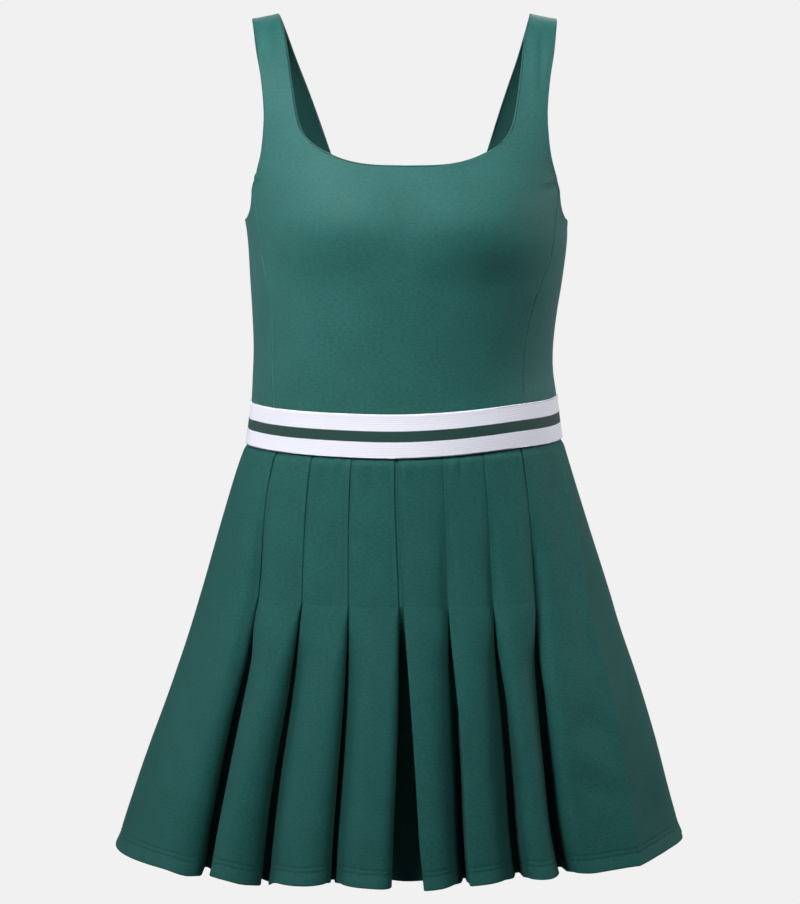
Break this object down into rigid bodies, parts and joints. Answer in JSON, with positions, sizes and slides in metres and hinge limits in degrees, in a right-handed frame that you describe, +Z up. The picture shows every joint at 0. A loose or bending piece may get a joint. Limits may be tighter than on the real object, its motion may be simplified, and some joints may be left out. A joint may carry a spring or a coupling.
{
  "type": "tennis dress",
  "caption": "Sleeveless knit tennis dress with a square neck, wide straps, an elastic waistband and a short skirt of stitched-down knife pleats, shaped as it hangs when worn.",
  "frame": {"origin": "midway between the tops of the two shoulder straps, where the wearer's shoulders hold the dress", "axes": "+Z up, the front of the dress faces -Y, the wearer's left is +X"},
  "size_m": [0.513, 0.3671, 0.7488],
  "materials": {
    "bodice_knit": "smooth stretch knit, dark green, faintly lustrous",
    "waist_elastic": "white ribbed elastic with one dark green stripe",
    "skirt_knit": "smooth stretch knit, dark green, pressed pleats"
  },
  "bodies": {
    "root": {"bodice_front": "bodice_knit", "bodice_side_left": "bodice_knit", "bodice_side_right": "bodice_knit", "bodice_back": "bodice_knit", "waistband": "waist_elastic", "skirt_front": "skirt_knit", "skirt_back": "skirt_knit"}
  },
  "joints": []
}
